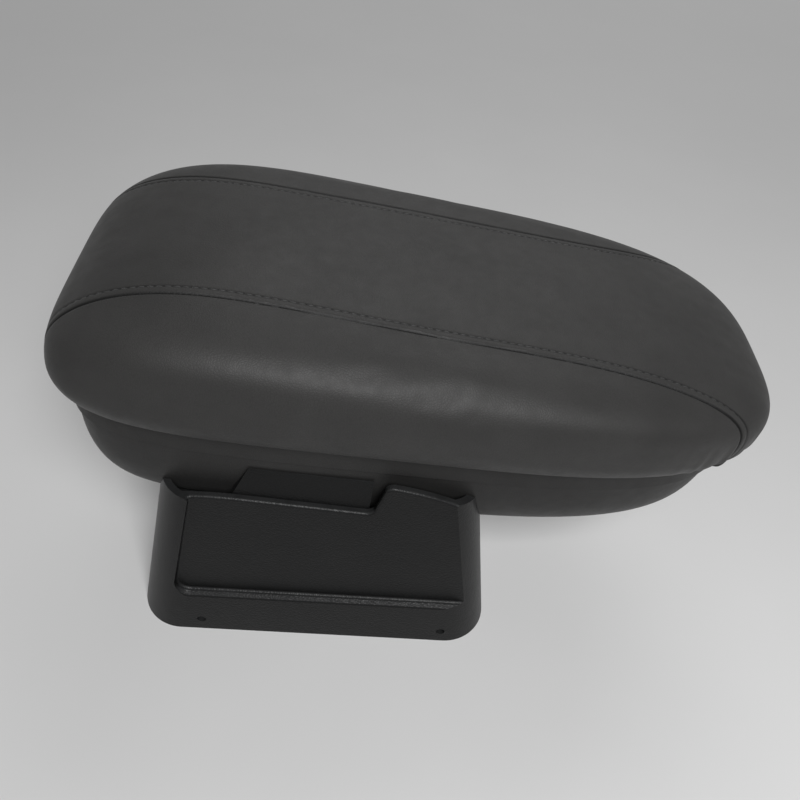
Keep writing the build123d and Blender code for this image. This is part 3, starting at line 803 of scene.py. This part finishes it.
@dataclass(frozen=True)
class NoseGathers:
    """Small folds of the cover where each seam runs into the hem at the nose."""

    corner: float = 0.129
    reach: float = 0.017
    top: float = 0.022
    inner_side: float = 0.03
    depth: float = 0.00055
    hem_fade: float = 0.002
    wide_fold: float = 0.0075
    wide_phase: float = 0.6
    narrow_fold: float = 0.0047
    narrow_share: float = 0.5

    def height(self, local: np.ndarray) -> np.ndarray:
        """Give the folds' rise at points of the cover.

        Args:
            local: The cover's points in the arm's frame.

        Returns:
            Heights along the surface's normal.
        """
        along = local[:, 0] - self.corner
        down = np.clip(1.0 - local[:, 2] / self.top, 0.0, 1.0)
        near = np.exp(-((along / self.reach) ** 2)) * (np.abs(local[:, 1]) > self.inner_side)
        folds = np.sin(2 * math.pi * along / self.wide_fold + self.wide_phase)
        folds = folds + self.narrow_share * np.sin(2 * math.pi * along / self.narrow_fold)
        return self.depth * folds * near * down * np.clip(local[:, 2] / self.hem_fade, 0.0, 1.0)


@dataclass
class PaddedLid:
    """The lid's sewn cover over its foam: a top panel and two side panels, joined at two seams."""

    arm: ArmFrame
    rear: float = 0.1612
    front: float = 0.1587
    half_rear: float = 0.0797
    half_front: float = 0.0733
    height: float = 0.0459
    top_tilt: float = math.radians(2.9)
    equator: float = 0.012
    shoulder: float = 0.024
    hem_tuck: float = 0.004
    crown_rear: float = 0.0835
    crown_front: float = 0.090
    crown_side: float = 0.070
    rear_squareness: float = 5.1
    nose_squareness: float = 3.1
    crown_rear_squareness: float = 4.2
    crown_nose_squareness: float = 3.4
    shoulder_power: float = 3.55
    rear_curve_power: float = 2.1
    nose_curve_power: float = 2.75
    start_inset: float = 0.0001
    underside_insets: tuple[float, ...] = (0.058, 0.044, 0.030, 0.018, 0.010, 0.006)
    hem_shares: tuple[float, ...] = (0.0, 0.22, 0.45, 0.72)
    half_stations: int = 76
    crown_rows: int = 18
    ring_samples: int = 2401
    crown_samples: int = 801
    subdivisions: int = 2
    seam_stations: tuple[tuple[float, float], ...] = (
        (-0.1712, 0.0465), (-0.0999, 0.0430), (0.0, 0.0444), (0.0794, 0.0464), (0.1190, 0.0530),
        (0.1508, 0.0620),
    )
    seam_end_slope: float = 0.6
    seam_step: float = 0.001
    seam_smoothing: int = 6
    seam_start: float = 0.0016
    seam_zone: float = 0.03
    middle_gap: float = 0.01
    far_offset: float = 0.05
    longest_cut: float = 0.02
    press_fade: float = 0.003
    stitch_start: float = 0.004
    line_tolerance: float = 1e-6
    seam: SeamProfile = field(default_factory=SeamProfile)
    cloth: CoverCloth = field(default_factory=CoverCloth)
    gathers: NoseGathers = field(default_factory=NoseGathers)

    def half_width(self, u: np.ndarray) -> np.ndarray:
        """Give the straight-sided half-width at stations along the arm."""
        share = (u + self.rear) / (self.rear + self.front)
        return self.half_rear + (self.half_front - self.half_rear) * share

    def ring(self, w: float, side: float, rear: float, front: float, share: float) -> np.ndarray:
        """Draw one closed plan outline of the pad.

        Args:
            w: The ring's height.
            side: Its inset at the sides.
            rear: Its inset at the rear end.
            front: Its inset at the nose.
            share: How far up the crown it lies, from 0 to 1.

        Returns:
            Evenly spread points from the nose round the left side, the rear and the right side.
        """
        angle = np.linspace(0.0, math.pi, self.ring_samples)
        along, across = np.cos(angle), np.sin(angle)
        rear_power = self.rear_squareness + (self.crown_rear_squareness - self.rear_squareness) * share
        nose_power = self.nose_squareness + (self.crown_nose_squareness - self.nose_squareness) * share
        power = np.where(along >= 0, nose_power, rear_power)
        reach = np.where(along >= 0, self.front - front, self.rear - rear)
        u = np.sign(along) * reach * np.abs(along) ** (2 / power)
        v = (self.half_width(u) - side) * np.abs(across) ** (2 / power)
        left = even_points(np.stack([u, v], axis=1), self.half_stations + 1)
        right = left[-2:0:-1] * (1, -1)
        plan = np.concatenate([left, right])
        tilt = self.top_tilt * share
        return np.stack([plan[:, 0] * math.cos(tilt), plan[:, 1], w - plan[:, 0] * math.sin(tilt)], axis=1)

    def crown_path(self, top: float) -> np.ndarray:
        """Give side insets and heights evenly spread up the crown.

        Args:
            top: The crown's height.

        Returns:
            Rows of inset and height, from the widest ring to the top.
        """
        angle = np.linspace(0.0, math.pi / 2, self.crown_samples)
        rise = np.sin(angle) ** (2 / self.shoulder_power)
        turn = 1 - np.clip(np.cos(angle), 0.0, 1.0) ** (2 / self.shoulder_power)
        curve = np.stack([self.crown_side * turn, self.shoulder + (top - self.shoulder) * rise], axis=1)
        path = np.concatenate([[[0.0, self.equator]], curve])
        return even_points(path, self.crown_rows + 1)

    @staticmethod
    def turn_in(share: float, power: float) -> float:
        """Give how far a rounded end has turned in, from 0 to 1, at a share of its height."""
        return 1 - (1 - share ** power) ** (1 / power)

    def rings(self) -> list[np.ndarray]:
        """Give the pad's rings from the middle of its underside to the top of its crown.

        Returns:
            Rings of points in the arm's frame.
        """
        inset, top = self.start_inset, self.height - self.start_inset
        found = []
        for under in self.underside_insets:
            found.append(self.ring(inset, under, under, under, 0.0))
        for share in self.hem_shares:
            w = inset + (self.equator - inset) * share
            tuck = inset + self.hem_tuck * (1 - w / self.equator) ** 2
            found.append(self.ring(w, tuck, tuck, tuck, 0.0))
        for turn, w in self.crown_path(top):
            share = min(1.0, (w - self.equator) / (top - self.equator))
            rear = inset + self.crown_rear * self.turn_in(share, self.rear_curve_power)
            nose = inset + self.crown_front * self.turn_in(share, self.nose_curve_power)
            found.append(self.ring(w, inset + turn, rear, nose, share))
        return found

    def start_piece(self) -> bpy.types.Object:
        """Make the pad's closed form, a little smaller than it ends.

        Returns:
            The new object, in the row frame.
        """
        rings = self.rings()
        count = len(rings[0])
        last = (len(rings) - 1) * count
        points = self.arm.to_row(np.concatenate(rings))
        faces = []
        for low in range(0, last, count):
            high = low + count
            for k in range(count):
                after = (k + 1) % count
                faces.append((low + k, low + after, high + after, high + k))
        for first, flip in ((0, True), (last, False)):
            for k in range(self.half_stations):
                corners = (k, k + 1, (count - k - 1) % count, (count - k) % count)
                face = tuple(dict.fromkeys(first + corner for corner in corners))
                faces.append(face[::-1] if flip else face)
        mesh = bpy.data.meshes.new("padded_lid")
        mesh.from_pydata(points.tolist(), [], faces)
        mesh.update()
        return new_object("padded_lid", mesh)

    def seam_half_width(self, u: np.ndarray) -> np.ndarray:
        """Give the seams' distance from the middle plane at stations along the arm.

        Args:
            u: Places along the arm.

        Returns:
            Half-widths from a smooth curve through the seam's stations.
        """
        us, vs = np.array(self.seam_stations).T
        count = len(us)
        gaps = np.diff(us)
        system, load = np.eye(count), np.zeros(count)
        for k in range(1, count - 1):
            system[k, k - 1:k + 2] = gaps[k - 1], 2 * (gaps[k - 1] + gaps[k]), gaps[k]
            load[k] = 6 * ((vs[k + 1] - vs[k]) / gaps[k] - (vs[k] - vs[k - 1]) / gaps[k - 1])
        bend = np.linalg.solve(system, load)
        spot = np.clip(np.searchsorted(us, u) - 1, 0, count - 2)
        inside = np.clip(u, us[0], us[-1])
        gap, ahead, behind = gaps[spot], us[spot + 1] - inside, inside - us[spot]
        curve = (bend[spot] * ahead ** 3 + bend[spot + 1] * behind ** 3) / (6 * gap)
        start = vs[spot] / gap - bend[spot] * gap / 6
        end = vs[spot + 1] / gap - bend[spot + 1] * gap / 6
        curve += start * ahead + end * behind
        return curve + self.seam_end_slope * np.clip(u - us[-1], 0.0, None)

    def seam_side(self, points: np.ndarray) -> np.ndarray:
        """Tell which panel points lie on.

        Args:
            points: Rows of points in the arm's frame.

        Returns:
            Numbers above zero on the side panels and below zero on the top panel.
        """
        return np.abs(points[:, 1]) - self.seam_half_width(points[:, 0])

    def inflate(self, piece: bpy.types.Object) -> None:
        """Swell the cover between its seams and its hem."""
        local = self.arm.to_arm(vertices_of(piece.data))
        self.cloth.swell(piece, self.cloth.hold(self.seam_side(local), local[:, 2]))

    def seam_key(self, points: np.ndarray) -> np.ndarray:
        """Give an order along a seam, from the rear hem over the top to the front hem.

        Args:
            points: Points of one seam in the arm's frame.

        Returns:
            Numbers that rise along the seam.
        """
        u, _, w = points.T
        low = w < self.equator
        return np.where(low & (u < 0), w - 1.0, np.where(low, 1.0 - w, u))

    def ordered_seam(self, points: np.ndarray) -> np.ndarray:
        """Sort loose points of one seam into a smooth path.

        Args:
            points: Rows of points in the row frame.

        Returns:
            Points about one step apart, in the row frame.
        """
        path = points[np.argsort(self.seam_key(self.arm.to_arm(points)), kind="stable")]
        path = smooth_path(stepped_points(path, self.seam_step), self.seam_smoothing)
        return stepped_points(path, self.seam_step)

    def seam_path(self, mesh: bpy.types.Mesh, side: Side) -> np.ndarray:
        """Find where a seam runs on the swollen cover.

        Args:
            mesh: The cover's mesh.
            side: Which of the two seams to find.

        Returns:
            Evenly spread points along it, in the row frame.
        """
        points = vertices_of(mesh)
        local = self.arm.to_arm(points)
        mark = self.seam_side(local)
        ends = np.empty(len(mesh.edges) * 2, np.int32)
        mesh.edges.foreach_get("vertices", ends)
        one, two = ends.reshape(-1, 2).T
        above_hem = np.minimum(local[one, 2], local[two, 2]) > self.seam_start
        outward = local[:, 1] * side.value
        same_side = np.minimum(outward[one], outward[two]) > self.middle_gap
        chosen = (mark[one] * mark[two] < 0) & above_hem & same_side
        one, two = one[chosen], two[chosen]
        share = mark[one] / (mark[one] - mark[two])
        return self.ordered_seam(points[one] + (points[two] - points[one]) * share[:, None])

    def sew(self, piece: bpy.types.Object) -> dict[Side, np.ndarray]:
        """Cut rows of vertices along both seams and press the seams into the cover.

        Args:
            piece: The swollen pad, which takes the sewn shape and a seam_offset attribute.

        Returns:
            The path of each seam's topstitching, in the row frame.
        """
        mesh = piece.data
        points = vertices_of(mesh)
        mark = self.seam_side(self.arm.to_arm(points))
        offset = np.full(len(points), self.far_offset)
        for side in Side:
            path = self.seam_path(mesh, side)
            near = np.nonzero((np.abs(mark) < self.seam_zone) & (points[:, 1] * side.value > 0))[0]
            offset[near] = distance_to_path(points[near], path)
        offset = np.where(mark < 0, -offset, offset)
        work = bmesh.new()
        work.from_mesh(mesh)
        layer = work.verts.layers.float.new("seam_offset")
        work.verts.ensure_lookup_table()
        for vert, value in zip(work.verts, offset):
            vert[layer] = value
        for level in self.seam.levels:
            self.cut_level(work, layer, level)
        bmesh.ops.triangulate(work, faces=[face for face in work.faces if len(face.verts) > 4])
        work.to_mesh(mesh)
        work.free()
        mesh.update()
        return self.press(mesh)

    def cut_level(self, work: bmesh.types.BMesh, layer: Any, level: float) -> None:
        """Cut a row of vertices where the distance from the seam has one value.

        Args:
            work: The mesh under construction.
            layer: The vertex layer that holds the distance.
            level: The distance to cut at.
        """
        crossing = [
            edge for edge in work.edges
            if (edge.verts[0][layer] - level) * (edge.verts[1][layer] - level) < 0
        ]
        fresh = []
        for edge in crossing:
            start, end = edge.verts
            if abs(end[layer] - start[layer]) > self.longest_cut:
                continue
            share = (level - start[layer]) / (end[layer] - start[layer])
            _, vert = bmesh.utils.edge_split(edge, start, share)
            vert[layer] = level
            fresh.append(vert)
        bmesh.ops.connect_verts(work, verts=fresh)

    def press(self, mesh: bpy.types.Mesh) -> dict[Side, np.ndarray]:
        """Raise the folded allowance, sink the joins and stitch lines, and gather the front corners.

        Args:
            mesh: The cut cover with its seam_offset attribute.

        Returns:
            The path of each seam's topstitching, in the row frame.
        """
        offset = np.empty(len(mesh.vertices), np.float32)
        mesh.attributes["seam_offset"].data.foreach_get("value", offset)
        points, normals = vertices_of(mesh), normals_of(mesh)
        local = self.arm.to_arm(points)
        fade = np.clip(local[:, 2] / self.press_fade, 0.0, 1.0)
        rise = self.seam.height(offset.astype(float)) * fade
        rise += self.gathers.height(local)
        points = points + normals * rise[:, None]
        move_vertices(mesh, points)
        on_line = np.abs(offset + self.seam.stitch_offset) < self.line_tolerance
        on_line &= local[:, 2] > self.stitch_start
        return {side: self.ordered_seam(points[on_line & (points[:, 1] * side.value > 0)]) for side in Side}

    def build(self, skin: bpy.types.Material) -> tuple[bpy.types.Object, dict[Side, np.ndarray]]:
        """Make and dress the padded lid.

        Args:
            skin: The cover's material.

        Returns:
            The finished piece, and the path of each seam's topstitching.
        """
        piece = self.start_piece()
        self.inflate(piece)
        finer = piece.modifiers.new("finer", "SUBSURF")
        finer.levels = finer.render_levels = self.subdivisions
        bake_modifiers(piece)
        paths = self.sew(piece)
        piece.data.shade_smooth()
        piece.data.materials.clear()
        piece.data.materials.append(skin)
        return piece, paths


@dataclass
class Topstitching:
    """Stitches along a seam, made by a node tree that repeats one stitch along a path."""

    pitch: float = 0.0034
    length: float = 0.0027
    thread_radius: float = 0.00034
    segments: int = 7
    rings: int = 6

    def tree(self, thread: bpy.types.Material) -> bpy.types.NodeTree:
        """Build the node tree.

        Args:
            thread: The thread's material.

        Returns:
            The tree, with named inputs for the stitch's sizes.
        """
        tree = bpy.data.node_groups.new("Topstitching", "GeometryNodeTree")
        tree.interface.new_socket("Path", in_out="INPUT", socket_type="NodeSocketGeometry")
        inputs = {"Pitch": self.pitch, "Stitch Length": self.length, "Thread Radius": self.thread_radius}
        for name, value in inputs.items():
            socket = tree.interface.new_socket(name, in_out="INPUT", socket_type="NodeSocketFloat")
            socket.default_value = value
        tree.interface.new_socket("Stitches", in_out="OUTPUT", socket_type="NodeSocketGeometry")
        nodes, links = tree.nodes, tree.links
        source, result = nodes.new("NodeGroupInput"), nodes.new("NodeGroupOutput")
        curve = nodes.new("GeometryNodeMeshToCurve")
        links.new(source.outputs["Path"], curve.inputs["Mesh"])
        spread = nodes.new("GeometryNodeResampleCurve")
        spread.mode = "LENGTH"
        links.new(curve.outputs["Curve"], spread.inputs["Curve"])
        links.new(source.outputs["Pitch"], spread.inputs["Length"])
        stitch = nodes.new("GeometryNodeMeshUVSphere")
        stitch.inputs["Segments"].default_value = self.segments
        stitch.inputs["Rings"].default_value = self.rings
        stitch.inputs["Radius"].default_value = 1.0
        half = nodes.new("ShaderNodeMath")
        half.operation = "MULTIPLY"
        half.inputs[1].default_value = 0.5
        links.new(source.outputs["Stitch Length"], half.inputs[0])
        sizes = nodes.new("ShaderNodeCombineXYZ")
        links.new(source.outputs["Thread Radius"], sizes.inputs["X"])
        links.new(source.outputs["Thread Radius"], sizes.inputs["Y"])
        links.new(half.outputs["Value"], sizes.inputs["Z"])
        heading = nodes.new("GeometryNodeInputTangent")
        turn = nodes.new("FunctionNodeAlignRotationToVector")
        turn.axis = "Z"
        links.new(heading.outputs["Tangent"], turn.inputs["Vector"])
        place = nodes.new("GeometryNodeInstanceOnPoints")
        links.new(spread.outputs["Curve"], place.inputs["Points"])
        links.new(stitch.outputs["Mesh"], place.inputs["Instance"])
        links.new(turn.outputs["Rotation"], place.inputs["Rotation"])
        links.new(sizes.outputs["Vector"], place.inputs["Scale"])
        real = nodes.new("GeometryNodeRealizeInstances")
        links.new(place.outputs["Instances"], real.inputs["Geometry"])
        dressed = nodes.new("GeometryNodeSetMaterial")
        dressed.inputs["Material"].default_value = thread
        links.new(real.outputs["Geometry"], dressed.inputs["Geometry"])
        links.new(dressed.outputs["Geometry"], result.inputs["Stitches"])
        return tree

    def build(self, paths: Iterable[np.ndarray], thread: bpy.types.Material) -> bpy.types.Object:
        """Sew stitches along paths.

        Args:
            paths: The seams' stitch lines, in the row frame.
            thread: The thread's material.

        Returns:
            One plain mesh of all the stitches.
        """
        points: list[Sequence[float]] = []
        edges: list[tuple[int, int]] = []
        for path in paths:
            first = len(points)
            points += path.tolist()
            edges += [(first + k, first + k + 1) for k in range(len(path) - 1)]
        mesh = bpy.data.meshes.new("topstitching")
        mesh.from_pydata(points, edges, [])
        piece = new_object("topstitching", mesh)
        sewing = piece.modifiers.new("sewing", "NODES")
        sewing.node_group = self.tree(thread)
        bake_modifiers(piece)
        piece.data.shade_smooth()
        return piece


@dataclass
class CadDress:
    """Finishes of the CAD nodes that show as they are, by the record's material slots."""

    finishes: dict[str, Finish]
    materials: dict[str, bpy.types.Material] = field(default_factory=dict)

    def material(self, slot: str) -> bpy.types.Material:
        """Give a slot's material, built once.

        Args:
            slot: The slot's name in the record.

        Returns:
            The material.
        """
        if slot not in self.materials:
            self.materials[slot] = self.finishes[slot].material()
        return self.materials[slot]

    def dress(self, frame: dict[str, Any]) -> None:
        """Give every CAD node the material of its slot.
        """
        for part in frame["record"]["subparts"]:
            node = frame["nodes"][part["node"]]
            node.data.materials.clear()
            node.data.materials.append(self.material(part["material_slot"]))
            LOG.info("dressed %s with %s", part["node"], part["material_slot"])


@dataclass(frozen=True)
class Softbox:
    """A square soft lamp that faces one point."""

    name: str
    place: Place
    aim: Place
    size: float
    watts: float

    def hang(self) -> bpy.types.Object:
        """Put the lamp in the scene.

        Returns:
            The lamp's object.
        """
        data = bpy.data.lights.new(self.name, "AREA")
        data.shape, data.size, data.energy = "SQUARE", self.size, self.watts
        made = new_object(self.name, data)
        made.location = self.place
        made.rotation_mode = "QUATERNION"
        made.rotation_quaternion = (Vector(self.aim) - Vector(self.place)).to_track_quat("-Z", "Y")
        return made


@dataclass
class Studio:
    """Floor, soft lamps, world and the camera that took the photo's view."""

    floor_tone: float = 0.68
    backdrop: float = 0.42
    ambient: float = 0.045
    floor_half: float = 4.0
    camera_place: Place = (-0.02715, -0.2864, 0.3836)
    camera_right: Place = (0.99688, 0.01539, 0.07745)
    camera_up: Place = (-0.06569, 0.70600, 0.70516)
    camera_back: Place = (-0.04382, -0.70805, 0.70480)
    focal_pixels: float = 800.0
    sensor: float = 36.0
    clip_range: tuple[float, float] = (0.01, 50.0)
    softboxes: tuple[Softbox, ...] = (
        Softbox("key_softbox", (0.14, -0.74, 0.95), (0.06, -0.05, 0.13), 0.46, 13.0),
        Softbox("overhead_softbox", (0.34, 1.15, 1.5), (0.12, 0.42, 0.0), 1.2, 8.5),
    )

    def floor(self) -> bpy.types.Object:
        """Make the pale floor.

        Returns:
            The floor.
        """
        half = self.floor_half
        corners = [(-half, -half, 0), (half, -half, 0), (half, half, 0), (-half, half, 0)]
        mesh = bpy.data.meshes.new("floor")
        mesh.from_pydata(corners, [], [(0, 1, 2, 3)])
        made = new_object("floor", mesh)
        made.data.materials.append(StudioPaper("studio_paper", self.floor_tone, self.backdrop).material())
        return made

    def camera(self) -> bpy.types.Object:
        """Set the camera where the photo was taken.

        Returns:
            The camera's object.
        """
        data = bpy.data.cameras.new("photo_view")
        data.sensor_width = self.sensor
        data.lens = self.sensor * self.focal_pixels / IMAGE_PIXELS
        data.clip_start, data.clip_end = self.clip_range
        made = new_object("photo_view", data)
        turn = Matrix((self.camera_right, self.camera_up, self.camera_back)).transposed().to_4x4()
        made.matrix_world = Matrix.Translation(self.camera_place) @ turn
        bpy.context.scene.camera = made
        return made

    def world(self) -> bpy.types.World:
        """Make the pale surroundings, which shine on the object only faintly.

        Returns:
            The scene's new world.
        """
        made = bpy.data.worlds.new("studio_air")
        made.use_nodes = True
        tree = made.node_tree
        strength = tree.nodes.new("ShaderNodeMapRange")
        strength.inputs["To Min"].default_value = self.ambient
        strength.inputs["To Max"].default_value = self.backdrop
        tree.links.new(background_rays(tree), strength.inputs["Value"])
        sky = tree.nodes["Background"]
        sky.inputs["Color"].default_value = grey(1.0)
        tree.links.new(strength.outputs["Result"], sky.inputs["Strength"])
        bpy.context.scene.world = made
        return made

    def build(self) -> None:
        """Set up the floor, the camera, the world and the lamps."""
        self.floor()
        self.camera()
        self.world()
        for softbox in self.softboxes:
            softbox.hang()
        bpy.context.scene.view_settings.view_transform = "Standard"


COVER_NODES = ("cover_top_panel", "cover_left_panel", "cover_right_panel", "foam_pad")

THREAD = SewingThread("seam_thread", 0.008)

FINISHES: dict[str, Finish] = {
    # The base gets a painted highlight on its upward faces.
    "base_abs": MouldedPlastic("moulded_black_base", 0.004, roughness=0.37, top_highlight_tone=0.02),
    "tray_skin": Leatherette("tray_leatherette", 0.019),
    # The cover gets painted shade along its seams.
    "cover_leatherette": Leatherette("cover_leatherette", 0.029, gloss=0.22, seams=True),
    "foam": Felt("open_cell_foam", (0.6, 0.56, 0.48, 1.0), fibre=0.0012),
    "board": FibreBoard("fibre_board", (0.42, 0.3, 0.19, 1.0)),
    "lining": Felt("black_felt_lining", (0.035, 0.035, 0.037, 1.0)),
    "mat": MouldedRubber("ribbed_mat", 0.022, rib_pitch=0.004),
    "zinc_steel": PlatedSteel("zinc_plated_steel", (0.62, 0.62, 0.6, 1.0)),
    "black_steel": PlatedSteel("black_coated_steel", (0.05, 0.05, 0.052, 1.0), roughness=0.42, metallic=0.0),
    "magnet": PlatedSteel("nickel_plated_magnet", (0.5, 0.49, 0.47, 1.0), roughness=0.22),
    "catch_plastic": MouldedPlastic("catch_plastic", 0.02),
    "bumper_rubber": MouldedRubber("bumper_rubber", 0.025),
}


def main() -> None:
    """Load the frame and build the armrest's looks around it."""
    logging.basicConfig(level=logging.INFO, format="%(name)s: %(message)s")
    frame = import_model()
    Studio().build()
    cad = CadDress(FINISHES)
    cad.dress(frame)
    pad, paths = PaddedLid(ArmFrame()).build(cad.material("cover_leatherette"))
    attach(pad, Body.LID.value)
    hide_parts(*COVER_NODES)
    LOG.info("padded lid: %d faces", len(pad.data.polygons))
    stitches = Topstitching().build(paths.values(), THREAD.material())
    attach(stitches, Body.LID.value)
    LOG.info("topstitching: %d faces", len(stitches.data.polygons))


if __name__ == "__main__":
    main()
